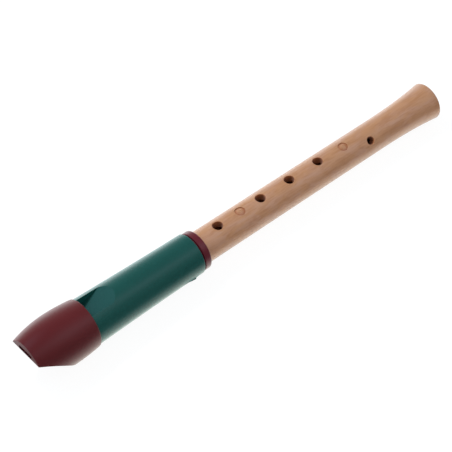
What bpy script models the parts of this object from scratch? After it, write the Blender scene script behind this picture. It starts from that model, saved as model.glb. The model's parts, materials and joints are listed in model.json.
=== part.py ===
"""School soprano recorder in two joints: a plastic head with a beak cap, and a turned wooden body.

The long axis lies along X, with the beak at -X and the foot at +X, and the finger holes face +Z.
The origin is at the bottom centre of the bounding box. A station is a distance along the axis
from the beak's tip, and a height is measured up from the axis.
"""
import math

import bmesh
import bpy
import numpy as np
from mathutils import Matrix, Vector

MM = 0.001

# Fits
CLEARANCE = 0.3 * MM
OVERCUT = 1.0 * MM
ROUND_STEPS = 56
HOLE_STEPS = 24
HOLLOW_STEPS = 96
EDGE_STEPS = 4

# Beak cap
CAP_LENGTH = 43.1 * MM
CAP_TIP_RADIUS = 14.45 * MM
CAP_TIP_DROP = 0.8 * MM
CAP_BULGE_RADIUS = 17.65 * MM
CAP_BULGE_STATION = 24.0 * MM
CAP_RIM_RADIUS = 16.3 * MM
CAP_RIM_ROUNDING = 0.5 * MM
BEAK_TIP_HEIGHT = 6.2 * MM
BEAK_HEEL_STATION = 28.3 * MM
BEAK_HOLLOW_RADIUS = 39.5 * MM
BEAK_WALL = 2.0 * MM
SPIGOT_LENGTH = 13.6 * MM
SPIGOT_RADIUS = 13.7 * MM

# Windway and block
WINDWAY_TIP_HEIGHT = 8.2 * MM
WINDWAY_TIP_GAP = 3.2 * MM
WINDWAY_TIP_WIDTH = 11.8 * MM
WINDWAY_EXIT_FLOOR = 6.6 * MM
WINDWAY_EXIT_GAP = 1.0 * MM
WINDWAY_WIDTH = 10.9 * MM
BLOCK_NOSE_STATION = 12.5 * MM

# Head tube
TUBE_LENGTH = 82.3 * MM
TUBE_FRONT_RADIUS = 15.5 * MM
TUBE_END_RADIUS = 13.7 * MM
TUBE_TAPER_POWER = 1.35
TUBE_END_CHAMFER = 0.3 * MM
HEAD_BORE_RADIUS = 6.5 * MM
SOCKET_RADIUS = 9.5 * MM
SOCKET_DEPTH = 20.8 * MM
WINDOW_LENGTH = 3.2 * MM
LABIUM_HEIGHT = 7.2 * MM
LABIUM_WIDTH = 15.2 * MM
LABIUM_EDGE = 0.1 * MM
RAMP_LENGTH = 18.4 * MM
UNDERCUT_LENGTH = 3.0 * MM
UNDERCUT_RUNOUT = 4.0 * MM
LUG_LENGTH = 8.0 * MM
LUG_END_DISTANCE = 2.0 * MM
LUG_WIDTH = 18.0 * MM
LUG_DEPTH = 14.3 * MM
LUG_TAPER = 1.2 * MM

# Joint
RING_GAP = 0.3 * MM
RING_WIDTH = 5.6 * MM
RING_RADIUS = 13.05 * MM
RING_ROUNDING = 0.9 * MM
TENON_LENGTH = 19.5 * MM
TENON_RADIUS = 8.7 * MM
TENON_CHAMFER = 0.5 * MM
CORK_LENGTH = 12.4 * MM
CORK_THICKNESS = 1.0 * MM
CORK_END_DISTANCE = 2.8 * MM

# Body
BODY_LENGTH = 194.6 * MM
BODY_TOP_RADIUS = 10.65 * MM
BODY_WAIST_RADIUS = 10.2 * MM
BODY_WAIST_DISTANCE = 147.2 * MM
FLARE_POWER = 2.4
FOOT_RADIUS = 12.75 * MM
FOOT_ROUNDING = 1.2 * MM
BODY_BORE_TOP_RADIUS = 6.0 * MM
BODY_BORE_FOOT_RADIUS = 4.9 * MM
BORE_CHAMFER = 0.8 * MM
HOLE_CHAMFER = 0.35 * MM

# Finger holes: name, distance from the body's shoulder, turn about the axis from the top, diameter
FINGER_HOLES = (
    ("first_hole", 15.3 * MM, 0.0, 6.6 * MM),
    ("second_hole", 49.9 * MM, 0.0, 6.5 * MM),
    ("third_hole", 73.7 * MM, 0.0, 6.5 * MM),
    ("fourth_hole", 97.6 * MM, 0.0, 6.4 * MM),
    ("last_hole", 137.0 * MM, 43.5, 5.1 * MM),
    ("thumb_hole", 6.8 * MM, 180.0, 5.6 * MM),
)
# Positions that are marked but not drilled: name, distance from the shoulder, turn, diameter
HOLE_MARKS = (
    ("upper_mark", 33.3 * MM, 0.0, 6.6 * MM),
    ("lower_mark", 118.2 * MM, 6.0, 6.3 * MM),
)
MARK_GROOVE_WIDTH = 0.7 * MM
MARK_DEPTH = 0.4 * MM
MARK_POINT_RADIUS = 0.45 * MM

# Stations that follow from the sizes above
SPIGOT_STATION = CAP_LENGTH - SPIGOT_LENGTH
WINDOW_END = CAP_LENGTH + WINDOW_LENGTH
TUBE_END = CAP_LENGTH + TUBE_LENGTH
RING_STATION = TUBE_END + RING_GAP
SHOULDER = RING_STATION + RING_WIDTH
TOTAL_LENGTH = SHOULDER + BODY_LENGTH
CORK_GROOVE_RADIUS = SOCKET_RADIUS - CLEARANCE - CORK_THICKNESS - CLEARANCE


def cap_radius(station):
    """Outer radius of the beak cap: two parabolas that meet at the bulge."""
    before = CAP_BULGE_STATION - station
    after = station - CAP_BULGE_STATION
    if before > 0.0:
        share = before / CAP_BULGE_STATION
        return CAP_BULGE_RADIUS - (CAP_BULGE_RADIUS - CAP_TIP_RADIUS) * share ** 2
    share = after / (CAP_LENGTH - CAP_BULGE_STATION)
    return CAP_BULGE_RADIUS - (CAP_BULGE_RADIUS - CAP_RIM_RADIUS) * share ** 2


def cap_drop(station):
    """How far the beak's sections sink below the axis, from the bulge to the tip."""
    share = max(0.0, CAP_BULGE_STATION - station) / CAP_BULGE_STATION
    return CAP_TIP_DROP * share ** 2


def tube_radius(distance):
    """Outer radius of the head tube at a distance from the cap's rim."""
    share = min(1.0, max(0.0, distance / TUBE_LENGTH))
    return TUBE_END_RADIUS + (TUBE_FRONT_RADIUS - TUBE_END_RADIUS) * (1.0 - share) ** TUBE_TAPER_POWER


def body_radius(distance):
    """Outer radius of the wooden body at a distance from its shoulder."""
    if distance < BODY_WAIST_DISTANCE:
        share = max(0.0, distance) / BODY_WAIST_DISTANCE
        return BODY_TOP_RADIUS + (BODY_WAIST_RADIUS - BODY_TOP_RADIUS) * share
    share = (distance - BODY_WAIST_DISTANCE) / (BODY_LENGTH - BODY_WAIST_DISTANCE)
    return BODY_WAIST_RADIUS + (FOOT_RADIUS - BODY_WAIST_RADIUS) * share ** FLARE_POWER


def windway_floor(station):
    """Height of the windway's floor, which falls evenly from the tip to the window."""
    tip_floor = WINDWAY_TIP_HEIGHT - WINDWAY_TIP_GAP / 2
    return tip_floor + (WINDWAY_EXIT_FLOOR - tip_floor) * station / CAP_LENGTH


def windway_ceiling(station):
    """Height of the windway's roof at a station."""
    tip_roof = WINDWAY_TIP_HEIGHT + WINDWAY_TIP_GAP / 2
    exit_roof = WINDWAY_EXIT_FLOOR + WINDWAY_EXIT_GAP
    return tip_roof + (exit_roof - tip_roof) * station / CAP_LENGTH


def hollow_centre():
    """Station and height of the centre of the arc that hollows the beak's underside."""
    tip = Vector((0.0, BEAK_TIP_HEIGHT))
    heel = Vector((BEAK_HEEL_STATION, -cap_radius(BEAK_HEEL_STATION)))
    chord = heel - tip
    across = Vector((chord.y, -chord.x)).normalized()
    reach = math.sqrt(BEAK_HOLLOW_RADIUS ** 2 - (chord.length / 2) ** 2)
    return (tip + heel) / 2 + across * reach


AXIS_HEIGHT = cap_radius(BEAK_HEEL_STATION)


def clear_scene():
    """Remove the objects of the start-up scene."""
    for item in list(bpy.data.objects):
        bpy.data.objects.remove(item, do_unlink=True)


def finish(name, colour, roughness):
    """A plain principled material."""
    material = bpy.data.materials.new(name)
    material.use_nodes = True
    shader = material.node_tree.nodes["Principled BSDF"]
    shader.inputs["Base Color"].default_value = (*colour, 1.0)
    shader.inputs["Roughness"].default_value = roughness
    shader.inputs["Metallic"].default_value = 0.0
    return material


def add_object(name, mesh_builder, station, parent):
    """Put a bmesh into a named object whose origin is on the axis at a station."""
    bmesh.ops.remove_doubles(mesh_builder, verts=mesh_builder.verts, dist=1e-7)
    bmesh.ops.recalc_face_normals(mesh_builder, faces=mesh_builder.faces)
    mesh = bpy.data.meshes.new(name)
    mesh_builder.to_mesh(mesh)
    mesh_builder.free()
    item = bpy.data.objects.new(name, mesh)
    bpy.context.scene.collection.objects.link(item)
    item.parent = parent
    item.location = (station, 0.0, 0.0)
    return item


def turned(name, outline, station, parent):
    """A closed outline of (distance, radius) points spun round the axis."""
    builder = bmesh.new()
    half_step = math.pi / ROUND_STEPS
    spin = Matrix.Rotation(half_step, 3, "X")
    points = [builder.verts.new(spin @ Vector((x, 0.0, radius))) for x, radius in outline]
    edges = [builder.edges.new(pair) for pair in zip(points, points[1:] + points[:1])]
    bmesh.ops.spin(builder, geom=points + edges, cent=(0, 0, 0), axis=(1, 0, 0),
                   angle=2 * math.pi, steps=ROUND_STEPS, use_merge=True)
    return add_object(name, builder, station, parent)


def lofted(name, rings, station, parent):
    """A solid through closed rings of points, with a flat face at each end."""
    builder = bmesh.new()
    loops = [[builder.verts.new(Vector(point)) for point in ring] for ring in rings]
    count = len(loops[0])
    for near, far in zip(loops, loops[1:]):
        for index in range(count):
            after = (index + 1) % count
            builder.faces.new((near[index], near[after], far[after], far[index]))
    builder.faces.new(loops[0][::-1])
    builder.faces.new(loops[-1])
    return add_object(name, builder, station, parent)


def circle(x, radius, height=0.0, steps=ROUND_STEPS):
    """Points of a circle across the axis, starting half a step from the top."""
    angles = (np.arange(steps) + 0.5) * 2 * math.pi / steps
    ones = np.ones(steps)
    return np.column_stack((x * ones, radius * np.sin(angles), height + radius * np.cos(angles)))


def rod(name, start, end, radius, parent):
    """A plain round rod between two stations."""
    return lofted(name, (circle(start, radius), circle(end, radius)), 0.0, parent)


def wedge(name, profile, near_half, far_half, parent):
    """The hull of a side profile of (station, height) points, whose half width can change."""
    builder = bmesh.new()
    stations = [point[0] for point in profile]
    low, high = min(stations), max(stations)
    for station, height in profile:
        half = near_half + (far_half - near_half) * (station - low) / (high - low)
        for side in (-half, half):
            builder.verts.new(Vector((station, side, height)))
    bmesh.ops.convex_hull(builder, input=builder.verts)
    return add_object(name, builder, 0.0, parent)


def as_cutter(item):
    """Mark an object as a tool that only shapes others."""
    item.hide_render = True
    item.display_type = "WIRE"
    return item


def combine(item, tool, operation):
    """Add an exact boolean of a tool to an object."""
    modifier = item.modifiers.new(f"{operation.lower()}_{tool.name}", "BOOLEAN")
    modifier.operation = operation
    modifier.solver = "EXACT"
    modifier.object = as_cutter(tool)


def shade_round(item, degrees=35.0):
    """Smooth shading that keeps the sharp edges."""
    item.data.shade_smooth()
    item.data.set_sharp_from_angle(angle=math.radians(degrees))


def rounded_corner(x, radius, size, turn):
    """Points of a quarter round at an outer corner. turn is -1 at the beak side, 1 at the foot side."""
    angles = np.linspace(0.0, math.pi / 2, EDGE_STEPS + 1)
    points = [(x - turn * size * (1 - math.sin(a)), radius - size * (1 - math.cos(a))) for a in angles]
    return points if turn > 0 else points[::-1]


def hollow_cutter(name, radius, parent):
    """The level cylinder that hollows the beak's underside, at a radius round its centre."""
    centre = hollow_centre()
    angles = np.arange(HOLLOW_STEPS) * 2 * math.pi / HOLLOW_STEPS
    across = CAP_BULGE_RADIUS + 4 * OVERCUT
    rings = [np.column_stack((centre.x + radius * np.cos(angles), np.full(HOLLOW_STEPS, side),
                              centre.y + radius * np.sin(angles))) for side in (-across, across)]
    return lofted(name, rings, 0.0, parent)


def block_section(station, grow):
    """The block's section: round below, with a flat-topped key that is as wide as the windway."""
    radius = HEAD_BORE_RADIUS - CLEARANCE + grow
    half = WINDWAY_WIDTH / 2 - CLEARANCE + grow
    start = math.asin(half / radius)
    angles = np.linspace(start, 2 * math.pi - start, ROUND_STEPS // 2)
    ring = [(station, radius * math.sin(a), radius * math.cos(a)) for a in angles]
    top = windway_floor(station)
    return ring + [(station, -half, top), (station, half, top)]


def block_form(name, grow, start, end, parent):
    """The block, or the pocket that holds it when grown by the clearance."""
    item = lofted(name, (block_section(start - grow, grow), block_section(end, grow)), 0.0, parent)
    wall = BEAK_WALL + CLEARANCE - grow
    combine(item, hollow_cutter(f"{name}_underside", BEAK_HOLLOW_RADIUS + wall, parent), "DIFFERENCE")
    return item


def windway_form(name, start, end, parent):
    """The flat air channel between two stations, a little wider at the tip."""
    profile = [(start, windway_floor(start)), (start, windway_ceiling(start)),
               (end, windway_floor(end)), (end, windway_ceiling(end))]
    return wedge(name, profile, WINDWAY_TIP_WIDTH / 2, WINDWAY_WIDTH / 2, parent)


def make_beak_cap(parent):
    """The cap: a bulging shell with a hollowed underside, the windway's mouth and a socket."""
    rise = np.linspace(0.0, CAP_LENGTH - CAP_RIM_ROUNDING, 17)
    rings = [circle(s, cap_radius(s), -cap_drop(s)) for s in rise]
    for angle in np.linspace(0.0, math.pi / 2, EDGE_STEPS + 1)[1:]:
        station = CAP_LENGTH - CAP_RIM_ROUNDING * (1 - math.sin(angle))
        rings.append(circle(station, cap_radius(station) - CAP_RIM_ROUNDING * (1 - math.cos(angle))))
    cap = lofted("beak_cap", rings, 0.0, parent)
    underside = hollow_cutter("underside_cutter", BEAK_HOLLOW_RADIUS, parent)
    socket = rod("cap_socket_cutter", SPIGOT_STATION - CLEARANCE, CAP_LENGTH + OVERCUT,
                 SPIGOT_RADIUS + CLEARANCE, parent)
    pocket = block_form("cap_pocket_cutter", CLEARANCE, BLOCK_NOSE_STATION, SPIGOT_STATION, parent)
    channel = windway_form("cap_windway_cutter", -OVERCUT, SPIGOT_STATION, parent)
    for tool in (underside, socket, pocket, channel):
        combine(cap, tool, "DIFFERENCE")
    return cap


def make_block(parent):
    """The block that closes the bore and carries the windway's floor."""
    return block_form("block", 0.0, BLOCK_NOSE_STATION, CAP_LENGTH, parent)


def make_head_tube(parent):
    """The tapered tube with its spigot, bore and socket, cut by the window, ramp and windway."""
    bore_end = TUBE_LENGTH - SOCKET_DEPTH
    distances = np.linspace(0.0, TUBE_LENGTH - TUBE_END_CHAMFER, 12)
    outline = [(-SPIGOT_LENGTH, SPIGOT_RADIUS), (0.0, SPIGOT_RADIUS)]
    outline += [(x, tube_radius(x)) for x in distances]
    outline += [(TUBE_LENGTH, TUBE_END_RADIUS - TUBE_END_CHAMFER), (TUBE_LENGTH, SOCKET_RADIUS),
                (bore_end, SOCKET_RADIUS), (bore_end, HEAD_BORE_RADIUS),
                (-SPIGOT_LENGTH, HEAD_BORE_RADIUS)]
    tube = turned("head_tube", outline, CAP_LENGTH, parent)

    lug_end = TUBE_END - LUG_END_DISTANCE
    lug_start = lug_end - LUG_LENGTH
    lug_top = -SOCKET_RADIUS - CLEARANCE
    lug = wedge("lug", [(lug_start, lug_top), (lug_start + LUG_TAPER, -LUG_DEPTH),
                        (lug_end, lug_top), (lug_end, -LUG_DEPTH)],
                LUG_WIDTH / 2 - LUG_TAPER, LUG_WIDTH / 2, parent)
    combine(tube, lug, "UNION")

    above = TUBE_FRONT_RADIUS + OVERCUT
    half = WINDWAY_WIDTH / 2
    low = HEAD_BORE_RADIUS / 2
    start = SPIGOT_STATION - OVERCUT
    exit_roof = windway_ceiling(CAP_LENGTH)
    crown = WINDOW_END + RAMP_LENGTH
    slope = (tube_radius(crown - CAP_LENGTH) - LABIUM_HEIGHT) / RAMP_LENGTH
    ramp_top = WINDOW_END + (above - LABIUM_HEIGHT) / slope
    undercut = LABIUM_HEIGHT - LABIUM_EDGE
    cuts = (
        wedge("channel_cutter", [(start, low), (start, windway_ceiling(start)),
                                 (CAP_LENGTH + OVERCUT, low), (CAP_LENGTH + OVERCUT, exit_roof)],
              half, half, parent),
        wedge("window_cutter", [(CAP_LENGTH, low), (CAP_LENGTH, above), (WINDOW_END, low),
                                (WINDOW_END, above)], half, half, parent),
        wedge("undercut_cutter", [(WINDOW_END - OVERCUT, low), (WINDOW_END - OVERCUT, undercut),
                                  (WINDOW_END + UNDERCUT_LENGTH, undercut),
                                  (WINDOW_END + UNDERCUT_LENGTH + UNDERCUT_RUNOUT, low)],
              half, half, parent),
        wedge("ramp_cutter", [(CAP_LENGTH - OVERCUT, LABIUM_HEIGHT), (WINDOW_END, LABIUM_HEIGHT),
                              (ramp_top, above), (CAP_LENGTH - OVERCUT, above)],
              LABIUM_WIDTH / 2, LABIUM_WIDTH / 2, parent),
    )
    for tool in cuts:
        combine(tube, tool, "DIFFERENCE")
    return tube


def make_joint_ring(parent):
    """The crowned collar between the head and the wood."""
    inner = TENON_RADIUS + CLEARANCE
    outline = [(0.0, inner)]
    outline += rounded_corner(0.0, RING_RADIUS, RING_ROUNDING, -1)
    outline += rounded_corner(RING_WIDTH, RING_RADIUS, RING_ROUNDING, 1)
    outline += [(RING_WIDTH, inner)]
    return turned("joint_ring", outline, RING_STATION, parent)


def make_cork(parent):
    """The cork lapping in its groove round the tenon."""
    inner = CORK_GROOVE_RADIUS + CLEARANCE
    outer = inner + CORK_THICKNESS
    station = RING_STATION - TENON_LENGTH + CORK_END_DISTANCE
    edge = CORK_THICKNESS / 4
    outline = [(0.0, inner), (0.0, outer - edge), (edge, outer), (CORK_LENGTH - edge, outer),
               (CORK_LENGTH, outer - edge), (CORK_LENGTH, inner)]
    return turned("cork_lapping", outline, station, parent)


def radial_tool(name, rings, distance, turn, parent):
    """A round tool of (height, radius) rings that stands out from the axis, turned about it."""
    loops = [[(radius * math.sin(a), -radius * math.cos(a), height)
              for a in np.arange(HOLE_STEPS) * 2 * math.pi / HOLE_STEPS] for height, radius in rings]
    tool = lofted(name, loops, SHOULDER + distance, parent)
    tool.rotation_euler = (math.radians(turn), 0.0, 0.0)
    return tool


def drill(name, distance, turn, diameter, parent):
    """A drill with its countersink, from inside the bore to above the wood."""
    surface = body_radius(distance)
    radius = diameter / 2
    rings = [(BODY_BORE_FOOT_RADIUS / 2, radius), (surface - HOLE_CHAMFER, radius),
             (surface + OVERCUT, radius + HOLE_CHAMFER + OVERCUT)]
    return radial_tool(name, rings, distance, turn, parent)


def mark_cutters(name, distance, turn, diameter, parent):
    """A ring groove and a centre point, cut just into the wood."""
    surface = body_radius(distance)
    outer = diameter / 2
    inner = outer - MARK_GROOVE_WIDTH
    groove = radial_tool(f"{name}_groove", [(surface - MARK_DEPTH, outer), (surface + OVERCUT, outer)],
                         distance, turn, parent)
    core = radial_tool(f"{name}_core", [(surface - MARK_DEPTH - OVERCUT, inner),
                                        (surface + 2 * OVERCUT, inner)], distance, turn, parent)
    combine(groove, core, "DIFFERENCE")
    tip = radial_tool(f"{name}_point", [(surface - MARK_POINT_RADIUS, MARK_POINT_RADIUS / 8),
                                        (surface + OVERCUT, MARK_POINT_RADIUS + OVERCUT)],
                      distance, turn, parent)
    return groove, tip


def make_body(parent):
    """The turned wooden body: tenon, straight stretch, flared foot, bore, holes and marks."""
    tip = -RING_WIDTH - TENON_LENGTH
    groove_start = tip + CORK_END_DISTANCE - CLEARANCE
    groove_end = groove_start + CORK_LENGTH + 2 * CLEARANCE
    outline = [(tip, TENON_RADIUS - TENON_CHAMFER), (tip + TENON_CHAMFER, TENON_RADIUS),
               (groove_start, TENON_RADIUS), (groove_start, CORK_GROOVE_RADIUS),
               (groove_end, CORK_GROOVE_RADIUS), (groove_end, TENON_RADIUS), (0.0, TENON_RADIUS)]
    outline += [(x, body_radius(x)) for x in np.linspace(0.0, BODY_WAIST_DISTANCE, 6)]
    flare = np.linspace(BODY_WAIST_DISTANCE, BODY_LENGTH - FOOT_ROUNDING, 12)[1:-1]
    outline += [(x, body_radius(x)) for x in flare]
    foot_edge = body_radius(BODY_LENGTH - FOOT_ROUNDING)
    outline += rounded_corner(BODY_LENGTH, foot_edge, FOOT_ROUNDING, 1)
    outline += [(BODY_LENGTH, BODY_BORE_FOOT_RADIUS + BORE_CHAMFER),
                (BODY_LENGTH - BORE_CHAMFER, BODY_BORE_FOOT_RADIUS), (tip, BODY_BORE_TOP_RADIUS)]
    body = turned("recorder_body", outline, SHOULDER, parent)
    for hole in FINGER_HOLES:
        combine(body, drill(*hole, parent), "DIFFERENCE")
    for mark in HOLE_MARKS:
        for tool in mark_cutters(*mark, parent):
            combine(body, tool, "DIFFERENCE")
    return body


def build():
    """Make every piece under one empty that stands at the beak's tip on the axis."""
    clear_scene()
    axis = bpy.data.objects.new("axis", None)
    bpy.context.scene.collection.objects.link(axis)
    axis.location = (-TOTAL_LENGTH / 2, 0.0, AXIS_HEIGHT)
    looks = (
        (make_beak_cap, "dark_red_cap", (0.110, 0.020, 0.028), 0.42),
        (make_block, "dark_red_block", (0.110, 0.020, 0.028), 0.45),
        (make_head_tube, "green_tube", (0.013, 0.064, 0.053), 0.40),
        (make_joint_ring, "dark_red_ring", (0.110, 0.016, 0.028), 0.42),
        (make_cork, "cork", (0.48, 0.30, 0.16), 0.85),
        (make_body, "pale_wood", (0.46, 0.27, 0.17), 0.50),
    )
    for make, name, colour, roughness in looks:
        piece = make(axis)
        piece.data.materials.append(finish(name, colour, roughness))
        shade_round(piece)
    bpy.context.view_layer.update()


build()
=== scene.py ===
"""Looks of a school soprano recorder: fine surfaces, finishes, a studio floor and the camera.

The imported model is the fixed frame. Its beak points to -X, its foot to +X and its finger holes to +Z.
A distance is measured along X from where the text says, and a height is measured up from the bore's axis.
"""
import json
import math

import bmesh
import bpy
import numpy as np
from bpy.props import FloatProperty, FloatVectorProperty, IntProperty, PointerProperty
from mathutils import Matrix, Vector

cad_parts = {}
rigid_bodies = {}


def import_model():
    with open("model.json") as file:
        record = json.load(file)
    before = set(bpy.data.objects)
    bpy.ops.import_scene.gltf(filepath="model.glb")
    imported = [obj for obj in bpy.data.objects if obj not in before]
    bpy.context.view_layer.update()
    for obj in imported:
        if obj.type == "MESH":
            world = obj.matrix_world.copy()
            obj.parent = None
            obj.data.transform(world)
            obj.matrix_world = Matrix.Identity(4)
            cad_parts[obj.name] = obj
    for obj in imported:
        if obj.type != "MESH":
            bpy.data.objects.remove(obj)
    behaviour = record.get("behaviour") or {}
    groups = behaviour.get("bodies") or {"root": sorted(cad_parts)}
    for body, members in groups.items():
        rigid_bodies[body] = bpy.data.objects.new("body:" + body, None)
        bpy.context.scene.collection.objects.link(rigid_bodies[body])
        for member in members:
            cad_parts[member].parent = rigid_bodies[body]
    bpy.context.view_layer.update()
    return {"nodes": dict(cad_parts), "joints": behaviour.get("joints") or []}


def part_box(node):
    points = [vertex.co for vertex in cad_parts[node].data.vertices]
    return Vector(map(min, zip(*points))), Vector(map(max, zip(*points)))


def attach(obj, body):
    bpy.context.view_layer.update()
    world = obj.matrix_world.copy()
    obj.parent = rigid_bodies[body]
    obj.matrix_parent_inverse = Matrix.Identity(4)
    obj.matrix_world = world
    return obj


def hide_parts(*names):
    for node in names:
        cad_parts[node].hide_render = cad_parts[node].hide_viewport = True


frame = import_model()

bl_info = {
    "name": "School recorder",
    "version": (1, 0, 0),
    "blender": (4, 5, 0),
    "location": "View3D > Sidebar > Recorder",
    "description": "Builds the shown surfaces, finishes and studio of a two-joint school recorder",
    "category": "Add Mesh",
}

MM = 0.001
# Points that are closer than this are one
MERGE = 0.5e-6
# A length that only settles on which side of a step a point lies
HAIR = 1e-9
# A height or a width that no surface reaches
FAR = 1.0
# Degrees between two faces past which their edge is drawn sharp
CREASE = 32.0
WOOD_CREASE = 40.0

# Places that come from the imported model
CAP_LOW, CAP_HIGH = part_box("beak_cap")
TUBE_LOW, TUBE_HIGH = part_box("head_tube")
RING_LOW, RING_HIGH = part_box("joint_ring")
CORK_LOW, CORK_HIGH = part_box("cork_lapping")
BODY_LOW, BODY_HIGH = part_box("recorder_body")
AXIS_HEIGHT = (RING_LOW.z + RING_HIGH.z) / 2
TIP = CAP_LOW.x
RIM = CAP_HIGH.x
SHOULDER = RING_HIGH.x


def length(label, value, text):
    """A property that holds a size in metres, whose default is given in millimetres."""
    return FloatProperty(name=label, default=value * MM, min=0.0, precision=5, unit="LENGTH",
                         description=text)


def share(label, value, text):
    """A property that holds a plain number from 0 to 1."""
    return FloatProperty(name=label, default=value, min=0.0, max=1.0, subtype="FACTOR", description=text)


def colour(label, value, text):
    """A property that holds a linear colour."""
    return FloatVectorProperty(name=label, default=value, size=3, min=0.0, max=1.0, subtype="COLOR",
                               description=text)


class RecorderCap(bpy.types.PropertyGroup):
    """Sizes and colours of the beak cap."""

    tip_radius: length("Tip radius", 14.45, "Radius of the round back at the tip")
    tip_drop: length("Tip drop", 0.8, "How far the tip's circle sinks below the axis")
    bulge_radius: length("Bulge radius", 17.61, "Radius at the widest place")
    bulge_distance: length("Bulge distance", 24.0, "From the tip to the widest place")
    rim_radius: length("Rim radius", 16.3, "Radius at the rim")
    tip_height: length("Tip height", 6.2, "Height of the underside's edge at the tip")
    heel_distance: length("Heel distance", 28.3, "From the tip to the end of the hollow")
    hollow_radius: length("Hollow radius", 39.5, "Radius of the arc that hollows the underside")
    socket_radius: length("Socket radius", 14.0, "Radius of the socket for the spigot")
    socket_depth: length("Socket depth", 13.9, "Depth of the socket for the spigot")
    edge: length("Edge rounding", 0.3, "Rounding of the tip, the underside's edges and the rim")
    colour: colour("Plastic", (0.0900, 0.0058, 0.0080), "Dark red plastic")
    # Paler edges: partly wear, partly a painted highlight
    wear_and_highlight_colour: colour("Edge tint", (0.205, 0.070, 0.074), "Paler plastic on the edges")


class RecorderWindway(bpy.types.PropertyGroup):
    """Sizes of the flat air channel."""

    tip_height: length("Tip height", 8.2, "Height of the slot's middle at the tip")
    tip_gap: length("Tip gap", 3.2, "Height of the slot at the tip")
    tip_width: length("Tip width", 11.8, "Width of the slot at the tip")
    exit_floor: length("Exit floor", 6.6, "Height of the floor at the window")
    exit_gap: length("Exit gap", 1.0, "Height of the channel at the window")
    exit_width: length("Exit width", 10.9, "Width of the channel and of the window")
    roundness: share("Roundness", 0.6, "Radius of the slot's corners, as a share of half its height")


class RecorderTube(bpy.types.PropertyGroup):
    """Sizes and colours of the plastic head tube."""

    front_radius: length("Front radius", 15.5, "Radius beside the cap's rim")
    end_radius: length("End radius", 13.7, "Radius at the open end")
    taper_power: FloatProperty(name="Taper power", default=1.35, description="Above 1 the taper eases out")
    spigot_radius: length("Spigot radius", 13.7, "Radius of the spigot inside the cap")
    bore_radius: length("Bore radius", 6.5, "Radius of the bore")
    socket_radius: length("Socket radius", 9.5, "Radius of the socket for the tenon")
    socket_depth: length("Socket depth", 20.8, "Depth of the socket for the tenon")
    window_length: length("Window length", 3.2, "From the cap's rim to the labium's edge")
    labium_height: length("Labium height", 7.2, "Height of the labium's edge")
    labium_edge: length("Labium edge", 0.1, "Thickness of the labium's edge")
    undercut_length: length("Undercut", 3.0, "Level stretch under the labium")
    undercut_runout: length("Undercut run-out", 4.0, "Sloping stretch after it")
    ramp_width: length("Ramp width", 15.2, "Between the ramp's side walls")
    ramp_length: length("Ramp length", 18.4, "From the labium's edge to the ramp's crown")
    wall_edge: length("Wall edge", 0.3, "Rounding along the top of the side walls")
    end_edge: length("End edge", 0.3, "Rounding at the open end")
    lug_length: length("Lug length", 8.0, "Length of the lug under the open end")
    lug_width: length("Lug width", 18.0, "Width of the lug at the end nearer the ring")
    lug_end: length("Lug distance", 2.0, "From the lug to the open end")
    lug_depth: length("Lug depth", 14.3, "From the axis down to the lug's pad")
    colour: colour("Plastic", (0.0042, 0.0535, 0.0455), "Dark green plastic")
    # Paler edges: partly wear, partly a painted highlight
    wear_and_highlight_colour: colour("Edge tint", (0.060, 0.150, 0.135), "Paler plastic on the edges")


class RecorderRing(bpy.types.PropertyGroup):
    """Sizes and colours of the ring between the joints."""

    radius: length("Radius", 13.05, "Outer radius")
    hole_radius: length("Hole radius", 9.0, "Radius of the hole round the tenon")
    edge: length("Edge rounding", 0.9, "Rounding of the outer edge at the wood")
    front_edge: length("Front rounding", 0.5, "Rounding of the outer edge at the tube")
    neck_length: length("Neck length", 0.9, "Length of the thin neck beside the tube")
    neck_radius: length("Neck radius", 11.6, "Radius of the neck")
    colour: colour("Plastic", (0.0960, 0.0075, 0.0145), "Dark red plastic")
    # Paler edges: partly wear, partly a painted highlight
    wear_and_highlight_colour: colour("Edge tint", (0.180, 0.060, 0.066), "Paler plastic on the edges")


class RecorderCork(bpy.types.PropertyGroup):
    """Sizes and colours of the cork lapping."""

    groove_radius: length("Inner radius", 8.2, "Inner radius, just clear of its groove")
    thickness: length("Thickness", 1.0, "Thickness of the cork")
    roughening: length("Roughening", 0.03, "How far the surface is rough below its radius")
    colour: colour("Cork", (0.50, 0.30, 0.155), "Pale granules")
    dark_colour: colour("Dark granules", (0.21, 0.098, 0.042), "Dark granules and pores")


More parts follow.
